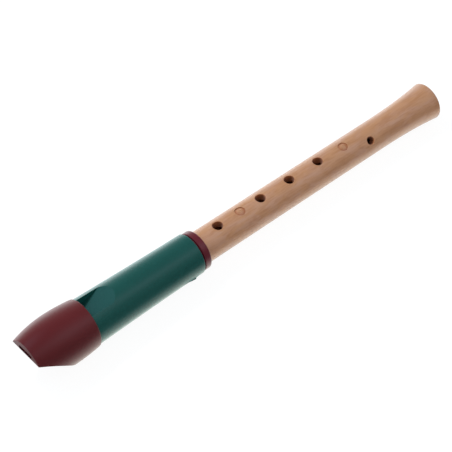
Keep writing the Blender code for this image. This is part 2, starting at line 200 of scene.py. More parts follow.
class RecorderBody(bpy.types.PropertyGroup):
    """Sizes and colours of the turned wooden body."""

    top_radius: length("Top radius", 10.65, "Radius beside the ring")
    waist_radius: length("Waist radius", 10.2, "Radius where the flare starts")
    waist_distance: length("Waist distance", 147.2, "From the shoulder to the flare's start")
    flare_power: FloatProperty(name="Flare power", default=2.4, description="Above 1 the flare eases in")
    foot_radius: length("Foot radius", 12.75, "Radius that the flare reaches at the foot")
    foot_edge: length("Foot rounding", 1.2, "Rounding of the foot's edge")
    tenon_radius: length("Tenon radius", 8.7, "Radius of the tenon")
    groove_radius: length("Groove radius", 7.9, "Radius at the bottom of the cork's groove")
    groove_gap: length("Groove gap", 0.3, "Gap at each end of the cork")
    bore_top_radius: length("Bore at the tenon", 6.0, "Radius of the bore at the tenon's tip")
    bore_foot_radius: length("Bore at the foot", 4.9, "Radius of the bore at the foot")
    bore_edge: length("Bore bevel", 0.8, "Bevel of the bore at the foot")
    hole_edge: length("Hole rounding", 0.42, "Rounding round the finger holes")
    mark_lip: length("Mark lip", 0.14, "How far a marked place's steep wall starts outside its ring")
    mark_foot: length("Mark foot", 0.084, "How far that wall ends inside the ring")
    mark_depth: length("Mark depth", 0.6, "Depth at the foot of that wall")
    mark_power: FloatProperty(name="Mark power", default=1.3, description="Above 1 the slope eases in")
    prick_radius: length("Prick radius", 0.63, "Radius of the prick in a marked place")
    prick_depth: length("Prick depth", 0.315, "Depth of the prick")
    steps: IntProperty(name="Steps", default=144, min=48, description="Steps round the body")
    colour: colour("Wood", (0.432, 0.208, 0.099), "Mean colour of the wood")
    light_colour: colour("Light figure", (0.440, 0.228, 0.141), "Pinkish patches")
    dark_colour: colour("Dark figure", (0.345, 0.143, 0.057), "Brown patches, lines and pores")
    # Darker inside: partly oiled wood, partly painted shade in the holes and the bore
    oil_and_shade_colour: colour("Inside", (0.320, 0.100, 0.032), "Oiled wood inside the holes and the bore")


class RecorderStage(bpy.types.PropertyGroup):
    """Floor, light and camera."""

    focal_length: FloatProperty(name="Focal length", default=167.3, description="In mm on a 36 mm sensor")
    camera_place: FloatVectorProperty(name="Camera", size=3, default=(-0.5659, -0.62951, 0.99174),
                                      subtype="TRANSLATION", description="Place of the camera")
    view_along: FloatVectorProperty(name="Image right", size=3, default=(0.75599, -0.65453, 0.00887),
                                    description="Direction that points to the right in the picture")
    view_up: FloatVectorProperty(name="Image up", size=3, default=(0.49025, 0.57513, 0.65489),
                                 description="Direction that points up in the picture")
    floor_gap: length("Floor gap", 0.1, "Gap under the heel and under the pulled-out foot")
    floor_size: length("Floor size", 8000.0, "Width of the floor")
    floor_colour: colour("Floor", (0.92, 0.92, 0.92), "Pale floor as the object's light meets it")
    dome: FloatProperty(name="Dome", default=1.0, description="Strength of the light all round")
    ends: share("Ends", 0.35, "Share of that light that comes along the recorder's axis")
    lamps: FloatProperty(name="Lamps", default=1.0, description="Strength of the soft lamps")
    lamp_width: length("Lamp width", 170.0, "Width of a soft lamp")
    lamp_reach: length("Lamp distance", 950.0, "From the recorder to a soft lamp")


# Finger holes: distance from the shoulder in mm, turn from the top in degrees, and diameter in mm
FINGER_HOLES = (
    (15.3, 0.0, 6.6),
    (49.9, 0.0, 6.5),
    (73.7, 0.0, 6.5),
    (97.6, 0.0, 6.4),
    (137.0, 43.5, 5.1),
    (6.8, 180.0, 5.6),
)
# Places that are marked but not drilled, in the same terms
HOLE_MARKS = (
    (33.3, 0.0, 6.6),
    (118.2, 6.0, 6.3),
)
# The patch of the body's grid round such a place: its margin along the body, and half its angle in degrees
PATCH_MARGIN = 1.6 * MM
HOLE_HALF_TURN = 41.0
MARK_HALF_TURN = 27.0
# Share of the inside's darker colour, partly oiled wood and partly painted shade, at the start of a hole's
# lip. In a marked place, where it is painted shade only, the share at the foot of its wall, and the power
# of the depth by which it fades
LIP_OIL_AND_SHADE = 0.35
MARK_PAINTED_SHADE = 0.70
MARK_SHADE_POWER = 0.6
# The share of a chord or of a wall that its rounded corner may take up
CORNER_MOST = 0.4
# The tube's front corner at the cap: distance from the cap's rim and inset from the surface, in mm
FRONT_CORNER = ((0.03, 0.28), (0.06, 0.14), (0.14, 0.06), (0.28, 0.01))
# Waves on the cork: how many go round it, their pitch along it in radians per mm, and their phase
CORK_WAVES = ((3, 1.9, 0.4), (7, -2.7, 1.3), (13, 3.7, 2.9), (23, -4.3, 0.7), (31, 5.9, 4.1))

# The strongest light. A colour ramp ends at 1, so colours of light are divided by it
BRIGHTEST = 2.2
# The studio's light: degrees about the long axis from overhead towards the near side, and grey or colour
STUDIO_LIGHT = (
    (-90.0, 1.90),
    (-75.0, 0.95),
    (-55.0, 0.50),
    (-20.0, 0.37),
    (8.0, (0.46, 0.49, 0.52)),
    (29.0, (1.12, 1.25, 1.38)),
    (54.0, 0.40),
    (90.0, 0.16),
)
# A cool patch of that light, which the tube's ramp mirrors: direction, cosines of its outside and of its
# inside, and colour
COOL_PATCH = ((-0.33, 0.49, 0.81), (0.92, 0.98), (1.44, 2.16, 2.64))
# The light's direction X, either way, from which it grows dimmer, and where it is dimmest
ENDS_DIM = (0.60, 1.0)
# In reflections, light from the beak's side is dimmer: its direction X up to which it is dimmest, the X
# from which it is full, and the share that is left
BEAK_DIM = (0.02, 0.34, 0.5)
# The floor as the eye sees it: its own glow, and the grey that takes the object's shadow
FLOOR_WHITE = 0.93
FLOOR_SHADED = (0.12, 0.12, 0.12, 1.0)
# The floor's glow in reflections, a painted reflection of a lit floor with painted shade under the object:
# distance from the long axis towards the far side, and its grey or colour
FLOOR_REACH = 0.10
FLOOR_GLOW = (
    (-0.080, 0.08),
    (-0.060, (0.22, 0.22, 0.21)),
    (-0.036, (1.35, 1.33, 1.22)),
    (-0.022, (2.10, 2.05, 1.86)),
    (-0.014, (2.15, 2.12, 1.96)),
    (-0.008, (1.60, 1.58, 1.46)),
    (-0.004, (0.90, 0.88, 0.80)),
    (0.015, 0.35),
    (0.030, 1.20),
    (0.050, 1.80),
    (0.100, 2.20),
)
# A painted shadow of the lug in that glow: its centre, the reach of its dark middle and of its soft edge,
# and the share that is left in the middle
LUG_SHADE = ((-0.0425, -0.0095, 0.0), (0.0025, 0.0090), 0.25)
# The soft lamps: direction, power in watts and colour
LAMPS = {
    "far_key": ((-0.200, 0.505, 0.840), 5.7, (1.0, 1.0, 1.0)),
    "near_fill": ((0.0, -0.966, 0.259), 1.0, (1.0, 0.88, 0.72)),
}


def grid_quads(rows, columns, closed=False):
    """Corner numbers of a grid's quads. Its columns, and when closed its rows, go all the way round."""
    row = np.arange(rows if closed else rows - 1)
    row, column = np.meshgrid(row, np.arange(columns), indexing="ij")
    below, beside = (row + 1) % rows, (column + 1) % columns
    corners = (row * columns + column, row * columns + beside,
               below * columns + beside, below * columns + column)
    return np.stack(corners, axis=-1)


def smooth(mesh, crease=CREASE):
    """Shade a mesh smooth, with its sharp edges kept."""
    mesh.shade_smooth()
    mesh.set_sharp_from_angle(angle=math.radians(crease))


def make_object(name, points, quads, inside=None, crease=CREASE):
    """An object from points and quads: doubles merged, empty faces gone, normals out, shaded smooth."""
    mesh = bpy.data.meshes.new(name)
    mesh.from_pydata(points.reshape(-1, 3), [], quads.reshape(-1, quads.shape[-1]))
    if inside is not None:
        mesh.attributes.new("inside", "FLOAT", "POINT").data.foreach_set("value", inside)
    builder = bmesh.new()
    builder.from_mesh(mesh)
    bmesh.ops.remove_doubles(builder, verts=builder.verts, dist=MERGE)
    bmesh.ops.dissolve_degenerate(builder, dist=MERGE / 2, edges=builder.edges)
    bmesh.ops.recalc_face_normals(builder, faces=builder.faces)
    builder.to_mesh(mesh)
    builder.free()
    smooth(mesh, crease)
    item = bpy.data.objects.new(name, mesh)
    bpy.context.scene.collection.objects.link(item)
    return item


def closed_rows(name, rows):
    """An object from rows of points that go all the way round, where the last row leads to the first."""
    return make_object(name, rows, grid_quads(*rows.shape[:2], closed=True))


def straight_tool(name, start, end):
    """A straight-sided tool between two faces of (x, half width, low height, high height)."""
    corners = [(x, side * half, AXIS_HEIGHT + height) for x, half, low, high in (start, end)
               for side, height in ((-1, low), (1, low), (1, high), (-1, high))]
    quads = np.array(((0, 1, 2, 3), (4, 5, 6, 7), (0, 1, 5, 4), (1, 2, 6, 5), (2, 3, 7, 6), (3, 0, 4, 7)))
    return make_object(name, np.array(corners), quads)


def slot_tool(name, start, end, roundness):
    """A tool for a flat slot with round corners, between two faces given as in straight_tool.

    Each end is a rounded rectangle: a quarter circle, whose radius is a share of half the height, is
    carried to the four corners of the box that is smaller by that radius.
    """
    quarter = np.linspace(0, 90, 7)
    turn = np.radians(np.arange(4)[:, None] * 90 + quarter).ravel()
    side = np.repeat(((1, 1), (-1, 1), (-1, -1), (1, -1)), len(quarter), axis=0)
    rows = []
    for x, half, low, high in (start, end):
        corner = roundness * (high - low) / 2
        reach = np.array((half - corner, (high - low) / 2 - corner))
        flat = side * reach + corner * np.column_stack((np.cos(turn), np.sin(turn)))
        middle = AXIS_HEIGHT + (low + high) / 2
        rows.append(np.column_stack((np.full(len(flat), x), flat[:, 0], middle + flat[:, 1])))
    caps = [np.repeat(row.mean(0)[None], len(row), axis=0) for row in rows]
    points = np.stack((caps[0], rows[0], rows[1], caps[1]))
    return make_object(name, points, grid_quads(4, len(turn)))


def carve(item, tools):
    """Cut or join tools into an object with exact booleans, and keep only the result."""
    for operation, tool in tools:
        modifier = item.modifiers.new(tool.name, "BOOLEAN")
        modifier.operation = operation
        modifier.solver = "EXACT"
        modifier.object = tool
    evaluated = item.evaluated_get(bpy.context.evaluated_depsgraph_get())
    mesh = bpy.data.meshes.new_from_object(evaluated)
    item.modifiers.clear()
    item.data = mesh
    mesh.name = item.name
    smooth(mesh)
    for _, tool in tools:
        bpy.data.objects.remove(tool, do_unlink=True)


def dress(item, body, node, finish):
    """Give a finished piece its material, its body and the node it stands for."""
    item.data.materials.clear()
    item.data.materials.append(finish)
    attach(item, body)
    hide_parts(node)


def rounding(size, steps=5):
    """Setback along the axis and inset from the surface, over a quarter round from an end face."""
    turn = np.linspace(0.0, math.pi / 2, steps)
    return size * (1 - np.cos(turn)), size * (1 - np.sin(turn))


def round_start(x, radius, size, steps=5):
    """Outline rows, each an x and a radius, of a quarter round that starts at an end face."""
    setback, inset = rounding(size, steps)
    return np.column_stack((x + setback, radius - inset))


def round_end(x, radius, size, steps=5):
    """Outline rows of a quarter round that ends at an end face."""
    return round_start(-x, radius, size, steps)[::-1] * (-1, 1)


def outline_rows(x, radius):
    """Outline rows from many x and one or as many radii."""
    return np.column_stack(np.broadcast_arrays(x, radius))


def even_turns(steps):
    """Angles in equal steps all the way round."""
    return np.arange(steps) * 2 * math.pi / steps


def turned(outline, turn):
    """Rows of circles about the bore's axis: an outline's rows spun to angles that count from the top."""
    x, radius = np.asarray(outline).T[..., None]
    return np.stack((np.broadcast_to(x, (len(x), len(turn))), -radius * np.sin(turn),
                     AXIS_HEIGHT + radius * np.cos(turn)), axis=-1)


# Shares of the way along the parts of a cut section: its level face, its upright wall and its corner, and
# the even angles of its round back
LEVEL_SHARES = np.concatenate((np.linspace(0.0, 0.94, 14), (0.985,)))
WALL_SHARES = np.linspace(0.0, 1.0, 6)
CORNER_SHARES = np.linspace(0.0, 1.0, 6)
BACK_TURNS = np.linspace(0.0, math.pi, 72)


def back_turns(start):
    """Angles that lead from where a cut's corner ends to the opposite side.

    Each is the root of the corner's angle squared plus a share of an even angle squared. So a cut that
    closes moves only the columns beside it.
    """
    left = 1 - (start / math.pi) ** 2
    return np.sqrt(start ** 2 + left * BACK_TURNS ** 2)


def quadratic(start, peak, end):
    """Points of the quadratic curve that leaves its start and reaches its end along lines from a peak."""
    way = CORNER_SHARES
    return (1 - way) ** 2 * start + 2 * way * (1 - way) * peak + way ** 2 * end


def cut_sections(x, radius, middle, level, widest, corner, spread):
    """Rows of a round bar whose top is cut away above a level, at most as wide as given.

    Each row is a circle of a radius about a middle height. Where it stands above the level, the chord
    at the level takes its place. Where that chord would be wider than allowed, two upright walls stand
    at the allowed width. Half a row runs from the middle of the chord, up the wall, round a corner
    drawn as a quadratic curve, and down the circle to its lowest point. The other half is its mirror.
    On rows marked to spread, the chord, wall and corner lie on the circle instead.
    """
    x, radius, middle, level, corner, spread = (
        np.broadcast_to(value, np.shape(x))[:, None]
        for value in (x, radius, middle, level, corner, spread))
    cosine = np.clip((level - middle) / radius, -1.0, 1.0)
    walled = (cosine > 0.0) & (radius * np.sqrt(1 - cosine ** 2) > widest)
    turn = np.where(walled, np.arcsin(np.clip(widest / radius, 0.0, 1.0)), np.arccos(cosine))
    half, top = radius * np.sin(turn), middle + radius * np.cos(turn)
    floor = np.where(walled, level, top)
    after = turn + corner / radius
    edge = half - np.where(walled, 0.0, corner)
    level_y = np.minimum(half * LEVEL_SHARES, edge)
    level_z = np.broadcast_to(floor, level_y.shape)
    wall_z = floor + (np.where(walled, top - corner, top) - floor) * WALL_SHARES
    wall_y = np.broadcast_to(edge, wall_z.shape)
    corner_y = quadratic(edge, half, radius * np.sin(after))
    corner_z = quadratic(wall_z[:, -1:], top, middle + radius * np.cos(after))
    front_y = np.concatenate((level_y, wall_y, corner_y), axis=1)
    front_z = np.concatenate((level_z, wall_z, corner_z), axis=1)
    round_turn = np.arcsin(widest / np.maximum(radius, widest)) * np.linspace(0.0, 1.0, front_y.shape[1])
    front_y = np.where(spread, radius * np.sin(round_turn), front_y)
    front_z = np.where(spread, middle + radius * np.cos(round_turn), front_z)
    back = np.where(spread, back_turns(round_turn[:, -1:]), back_turns(after))[:, 1:]
    y = np.concatenate((front_y, radius * np.sin(back)), axis=1)
    z = np.concatenate((front_z, middle + radius * np.cos(back)), axis=1)
    y = np.concatenate((y, -y[:, -2:0:-1]), axis=1)
    z = np.concatenate((z, z[:, -2:0:-1]), axis=1)
    return np.stack((np.broadcast_to(x, y.shape), y, z), axis=-1)


def cap_radius(cap, distance):
    """Radius of the cap at a distance from the tip: two parabolas that meet at the bulge."""
    before = (cap.bulge_distance - distance) / cap.bulge_distance
    after = (distance - cap.bulge_distance) / (RIM - TIP - cap.bulge_distance)
    return np.where(before > 0.0, cap.bulge_radius - (cap.bulge_radius - cap.tip_radius) * before ** 2,
                    cap.bulge_radius - (cap.bulge_radius - cap.rim_radius) * after ** 2)


def cap_drop(cap, distance):
    """How far the cap's circles sink below the axis: a parabola from the bulge to the tip."""
    return cap.tip_drop * np.maximum(0.0, 1 - distance / cap.bulge_distance) ** 2


def hollow_height(cap, distance):
    """Height of the hollowed underside: the upper side of an arc through the tip's edge and the heel."""
    heel_height = -float(cap_radius(cap, cap.heel_distance))
    chord = Vector((cap.heel_distance, heel_height - cap.tip_height))
    across = Vector((chord.y, -chord.x)).normalized()
    reach = math.sqrt(cap.hollow_radius ** 2 - (chord.length / 2) ** 2)
    middle = Vector((cap.heel_distance / 2, (cap.tip_height + heel_height) / 2)) + across * reach
    rise = np.sqrt(np.maximum(0.0, cap.hollow_radius ** 2 - (distance - middle.x) ** 2))
    return np.where(distance < cap.heel_distance, middle.y + rise, -FAR)


def build_cap(cap, windway):
    """The cap as rows of cut circles, upside down: outside, rim and socket, then its slot is cut.

    Where the cut narrows towards the heel, its width falls from row to row as the cosine of even angles.
    """
    edge = cap.edge
    narrowing = 0.7 * cap.heel_distance
    table = np.linspace(edge, cap.heel_distance, 500)
    half = np.sqrt(np.maximum(0.0, cap_radius(cap, table) ** 2
                              - (hollow_height(cap, table - HAIR) + cap_drop(cap, table)) ** 2))
    falling = table > narrowing
    chords = half[falling].max() * np.cos(np.linspace(0.0, math.pi / 2, 16))
    near_heel = np.interp(chords, half[falling][::-1], table[falling][::-1])
    outside = np.unique(np.round(np.concatenate((
        np.linspace(edge, narrowing, 30), near_heel,
        np.linspace(cap.heel_distance, RIM - TIP - edge, 24))), 8))
    distance, offset = np.concatenate((
        round_start(0.0, 0.0, edge)[:-1], outline_rows(outside, 0.0),
        round_end(RIM - TIP, 0.0, edge)[1:])).T
    radius = cap_radius(cap, distance) + offset
    level = hollow_height(cap, distance) - offset
    drop = cap_drop(cap, distance)
    chord = np.sqrt(np.maximum(0.0, radius ** 2 - (level + drop) ** 2))
    corner = np.minimum(edge, CORNER_MOST * chord)
    rows = cut_sections(TIP + distance, radius, drop, -level, FAR, corner, False)
    rows[..., 2] = AXIS_HEIGHT - rows[..., 2]
    columns = rows.shape[1]
    socket = ((RIM, cap.socket_radius + edge / 2), (RIM - edge / 2, cap.socket_radius),
              (RIM - cap.socket_depth, cap.socket_radius), (RIM - cap.socket_depth, 0.0))
    inner = turned(socket, np.arctan2(-rows[-1, :, 1], rows[-1, :, 2] - AXIS_HEIGHT))
    face_z = rows[0, :, 2]
    middle = np.array((TIP, 0.0, (face_z.min() + face_z.max()) / 2))
    points = np.concatenate((np.broadcast_to(middle, (1, columns, 3)), rows, inner))
    piece = make_object("beak_cap_shell", points, grid_quads(len(points), columns))
    tip_low = windway.tip_height - windway.tip_gap / 2
    start = (TIP - MM, windway.tip_width / 2, tip_low, tip_low + windway.tip_gap)
    end = (TUBE_LOW.x, windway.exit_width / 2, windway.exit_floor, windway.exit_floor + windway.exit_gap)
    carve(piece, [("DIFFERENCE", slot_tool("slot", start, end, windway.roundness))])
    return piece


def tube_radius(tube, distance):
    """Radius of the tube at a distance from the cap's rim: a taper that eases out."""
    left = np.clip(1 - distance / (TUBE_HIGH.x - RIM), 0.0, 1.0)
    return tube.end_radius + (tube.front_radius - tube.end_radius) * left ** tube.taper_power


def ramp_height(tube, distance):
    """Height of the ramp at a distance from the rim: level by the window, then straight up to the crown."""
    crown = tube.window_length + tube.ramp_length
    slope = (tube_radius(tube, crown) - tube.labium_height) / tube.ramp_length
    return tube.labium_height + slope * np.maximum(0.0, distance - tube.window_length)


def lug_tool(tube):
    """The lug as a rounded box: a superellipsoid of power 6 whose width grows towards the ring."""
    power = 2 / 6
    growth = 0.07
    root = tube.socket_radius + 0.4 * MM
    tilt, turn = np.meshgrid(np.linspace(-math.pi / 2, math.pi / 2, 33), even_turns(64), indexing="ij")

    def boxed(value):
        return np.sign(value) * np.abs(value) ** power

    half_x, half_y, half_z = tube.lug_length / 2, tube.lug_width / 2, (tube.lug_depth - root) / 2
    x = boxed(np.cos(tilt)) * boxed(np.cos(turn))
    y = boxed(np.cos(tilt)) * boxed(np.sin(turn)) * (1 + growth * (x - 1))
    points = np.stack((TUBE_HIGH.x - tube.lug_end - half_x + half_x * x, half_y * y,
                       AXIS_HEIGHT - root - half_z + half_z * boxed(np.sin(tilt))), axis=-1)
    return make_object("lug", points, grid_quads(*tilt.shape))


def tube_cuts(tube, windway):
    """Tools that cut the channel, the window, the level undercut of the labium and its sloping run-out."""
    low, wide = tube.bore_radius / 2, windway.exit_width / 2
    above = tube.front_radius + MM
    roof = windway.exit_floor + windway.exit_gap
    tip_roof = windway.tip_height + windway.tip_gap / 2
    start_roof = roof + (tip_roof - roof) * (RIM - TUBE_LOW.x) / (RIM - TIP)
    under = tube.labium_height - tube.labium_edge
    edge_x = RIM + tube.window_length
    runout = edge_x + tube.undercut_length
    faces = {
        "channel": ((TUBE_LOW.x - MM, start_roof), (RIM + MM, roof)),
        "window": ((RIM, above), (edge_x, above)),
        "undercut": ((edge_x - MM, under), (runout, under)),
        "runout": ((runout - MERGE, under), (runout + tube.undercut_runout, low + 0.1 * MM)),
    }
    return [("DIFFERENCE", straight_tool(name, *((x, wide, low, high) for x, high in ends)))
            for name, ends in faces.items()]


def build_tube(tube, windway):
    """The tube as rows of cut circles: spigot, front, outside with the ramp, open end, socket and bore.

    Where the ramp narrows towards its crown, its width falls from row to row as the cosine of even
    angles. The lug is then joined on, and the tools cut the air's way.
    """
    length_out = TUBE_HIGH.x - RIM
    start = TUBE_LOW.x - RIM
    window, crown = tube.window_length, tube.window_length + tube.ramp_length
    widest = tube.ramp_width / 2
    table = np.linspace(window, crown, 600)
    half = np.sqrt(np.maximum(0.0, tube_radius(tube, table) ** 2 - ramp_height(tube, table) ** 2))
    arch = np.interp(widest * np.cos(np.linspace(0.0, math.pi / 2, 16)), half[::-1], table[::-1])
    front, front_inset = np.array(FRONT_CORNER).T * MM
    ramp_start, bevel = 0.5 * MM, 0.3 * MM
    ramp = np.concatenate((np.linspace(ramp_start, window, 8),
                           np.linspace(window, arch[0], 16)[1:-1], arch))
    plain = np.linspace(crown, length_out - tube.end_edge, 60)[1:]
    bore_end = length_out - tube.socket_depth
    spigot = ((start, tube.bore_radius + bevel), (start, tube.spigot_radius - bevel),
              (start + bevel, tube.spigot_radius), (0.0, tube.spigot_radius))
    inner = ((length_out, tube.socket_radius + bevel), (length_out - bevel, tube.socket_radius),
             (bore_end, tube.socket_radius), (bore_end, tube.bore_radius),
             (start + bevel, tube.bore_radius), (start, tube.bore_radius + bevel))
    parts = (
        (spigot, False),
        (((0.0, tube.spigot_radius),), True),
        (outline_rows(front, tube_radius(tube, 0.0) - front_inset), True),
        (outline_rows(ramp, tube_radius(tube, ramp)), True),
        (outline_rows(plain, tube_radius(tube, plain)), False),
        (round_end(length_out, tube.end_radius, tube.end_edge)[1:], False),
        (inner, False),
    )
    distance, radius = np.concatenate([part for part, _ in parts]).T
    cut = np.concatenate([np.full(len(part), is_cut) for part, is_cut in parts])
    spread = np.arange(len(distance)) < len(spigot)
    spread[0] = False
    level = np.where(cut & (distance < crown - MERGE), ramp_height(tube, distance), FAR)
    wall = np.sqrt(np.maximum(0.0, radius ** 2 - widest ** 2)) - level
    corner = np.clip(CORNER_MOST * wall, 0.0, tube.wall_edge) * cut
    rows = cut_sections(RIM + distance, radius, 0.0, level, widest, corner, spread)
    rows[..., 2] += AXIS_HEIGHT
    piece = closed_rows("head_tube_shell", rows)
    carve(piece, [("UNION", lug_tool(tube)), *tube_cuts(tube, windway)])
    return piece


def build_ring(ring):
    """The ring as a turned outline: hole, thin neck, quarter round, flat back, quarter round."""
    bevel = 0.2 * MM
    start, front, end = RING_LOW.x, RING_LOW.x + ring.neck_length, RING_HIGH.x
    outline = np.concatenate((
        ((start + bevel, ring.hole_radius), (start, ring.hole_radius + bevel),
         (start, ring.neck_radius), (front, ring.neck_radius)),
        round_start(front, ring.radius, ring.front_edge, 7),
        outline_rows(np.linspace(front + ring.front_edge, end - ring.edge, 6)[1:-1], ring.radius),
        round_end(end, ring.radius, ring.edge, 7),
        ((end, ring.hole_radius + bevel), (end - bevel, ring.hole_radius))))
    return closed_rows("joint_ring_turned", turned(outline, even_turns(160)))


def build_cork(cork):
    """The cork as a turned outline, whose outside is sunk a little by sums of sines that seem random."""
    start, end, edge = CORK_LOW.x, CORK_HIGH.x, cork.thickness / 4
    outer = cork.groove_radius + cork.thickness
    outline = np.concatenate((
        ((start, cork.groove_radius),), round_start(start, outer, edge),
        outline_rows(np.linspace(start + edge, end - edge, 60)[1:-1], outer),
        round_end(end, outer, edge), ((end, cork.groove_radius),)))
    rows = turned(outline, even_turns(224))
    turn = np.arctan2(rows[..., 1], rows[..., 2] - AXIS_HEIGHT)
    along = (rows[..., 0] - start) / MM
    ripple = sum(np.sin(count * turn + pitch * along + phase) for count, pitch, phase in CORK_WAVES)
    outside = outline[:, 1:] > cork.groove_radius + MERGE
    sink = np.where(outside, cork.roughening * (1 + ripple / len(CORK_WAVES)) / 2, 0.0)
    rows[..., 1] -= sink * np.sin(turn)
    rows[..., 2] -= sink * np.cos(turn)
    return closed_rows("cork_lapping_turned", rows)


def body_radius(body, distance):
    """Radius of the body at a distance from the shoulder: a slight taper, then a flare that eases in."""
    taper = distance / body.waist_distance
    flare = np.maximum(0.0, distance - body.waist_distance) / (BODY_HIGH.x - SHOULDER - body.waist_distance)
    return np.where(distance < body.waist_distance,
                    body.top_radius + (body.waist_radius - body.top_radius) * taper,
                    body.waist_radius + (body.foot_radius - body.waist_radius) * flare ** body.flare_power)


def bore_radius(body, x):
    """Radius of the body's bore: an even taper from the tenon's tip to the foot."""
    along = (x - BODY_LOW.x) / (BODY_HIGH.x - BODY_LOW.x)
    return body.bore_top_radius + (body.bore_foot_radius - body.bore_top_radius) * along


def turn_from(start, turns):
    """The way from one angle to others, between -pi and pi."""
    return (turns - start + math.pi) % (2 * math.pi) - math.pi


def window_edge(x_lines, turns, place, turn, reach, half_turn):
    """Row and column numbers of the grid's lines at a place's edge, in order, and of the cells inside."""
    rows = np.flatnonzero(np.abs(x_lines - place) < reach)
    off = turn_from(turn, turns)
    columns = np.flatnonzero(np.abs(off) < half_turn)
    columns = columns[np.argsort(off[columns])]
    row = np.concatenate((rows, np.full(len(columns) - 1, rows[-1]), rows[-2::-1],
                          np.full(len(columns) - 2, rows[0])))
    column = np.concatenate((np.full(len(rows), columns[0]), columns[1:],
                             np.full(len(rows) - 1, columns[-1]), columns[-2:0:-1]))
    return row, column, rows[:-1], columns[:-1]


def about_axis(x, across, up, turn):
    """Points given by x, a reach across and a height above the axis, turned about the axis from the top."""
    y = -across * math.cos(turn) - up * math.sin(turn)
    z = up * math.cos(turn) - across * math.sin(turn)
    return np.stack((x, y, AXIS_HEIGHT + z), axis=-1)


def round_patch(edge, place, rings, surface, outward):
    """Rings that lead from a square edge on a turned surface to a circle on it.

    A point's direction from the place is kept. Its x and its angle about the axis go evenly from the
    edge to the circle, and the surface's radius at that x puts it on the surface.
    """
    edge_x, edge_turn = edge
    direction = np.arctan2(edge_turn * surface(np.full(1, place)), edge_x - place)
    circle_x = place + outward * np.cos(direction)
    circle_turn = np.arcsin(outward * np.sin(direction) / surface(circle_x))
    way = np.linspace(0.0, 1.0, rings)[:, None]
    x = edge_x + (circle_x - edge_x) * way
    turn = edge_turn + (circle_turn - edge_turn) * way
    radius = surface(x)
    return direction, (x, radius * np.sin(turn), radius * np.cos(turn))


def sunk_rings(direction, place, surface, reach, sink):
    """Rings about a place, each at its reach and sunk by its depth below a turned surface."""
    x, across = place + reach * np.cos(direction), reach * np.sin(direction)
    return x, across, np.sqrt(surface(x) ** 2 - across ** 2) - sink


def patch(turn, parts, darkening):
    """A grid of points from parts given by x, across and up, with the darkening of each of its rings:
    painted shade, and in holes also oiled wood.
    """
    points = np.concatenate([about_axis(*part, turn) for part in parts])
    return points, np.broadcast_to(darkening.reshape(-1, 1), points.shape[:2])


def drilled_hole(body, edge, outer, bore, hole):
    """Rings from the outside's edge to a rounded lip, down a round wall, and out to the bore's edge."""
    place, turn, radius = hole
    lip = body.hole_edge
    direction, outside = round_patch(edge, place, 7, outer, radius + lip)
    sink, inset = (part[1:, None] for part in rounding(lip, 6))
    corner = sunk_rings(direction, place, outer, radius + inset, sink)
    inside = round_patch(edge, place, 6, bore, radius)[1]
    x, across, up = (part[-1] for part in corner)
    up = up + (inside[2][-1] - up) * np.linspace(0.0, 1.0, 5)[1:-1, None]
    wall = (np.broadcast_to(x, up.shape), np.broadcast_to(across, up.shape), up)
    parts = (outside, corner, wall, [part[::-1] for part in inside])
    # The lip, the wall and the bore darken towards the inside's colour: oiled wood and painted shade
    darkening_ramps = ((0.0, 0.0), (LIP_OIL_AND_SHADE, 1.0), (1.0, 1.0), (1.0, 1.0))
    return patch(turn, parts, np.concatenate(
        [np.linspace(*darkening, len(part[0])) for darkening, part in zip(darkening_ramps, parts)]))


def marked_place(body, edge, outer, mark):
    """Rings from the outside's edge down a steep wall, up an easing slope to the middle and into a prick.

    The wall's depth follows half a cosine. The slope's depth is a share of the way from the prick to
    the wall's foot, raised to a power above 1. The prick's depth follows a parabola.
    """
    place, turn, radius = mark
    lip, foot = radius + body.mark_lip, radius - body.mark_foot
    deep, hollow = body.mark_depth, body.prick_radius
    direction, outside = round_patch(edge, place, 6, outer, lip)
    dip = np.linspace(0.0, 1.0, 9)[1:, None]
    rise = np.linspace(1.0, 0.0, 14)[1:, None]
    prick = np.linspace(1.0, 0.0, 6)[1:, None]
    reach = np.concatenate((lip + (foot - lip) * dip, hollow + (foot - hollow) * rise, hollow * prick))
    sink = np.concatenate((deep * (1 - np.cos(math.pi * dip)) / 2, deep * rise ** body.mark_power))
    # The wall and the slope darken towards the inside's colour as painted shade in the recess
    darkening = MARK_PAINTED_SHADE * (sink / deep) ** MARK_SHADE_POWER
    sink = np.concatenate((sink, body.prick_depth * (1 - prick ** 2)))
    darkening = np.concatenate((np.zeros((len(outside[0]), 1)), darkening, 0.0 * prick))
    return patch(turn, (outside, sunk_rings(direction, place, outer, reach, sink)), darkening)


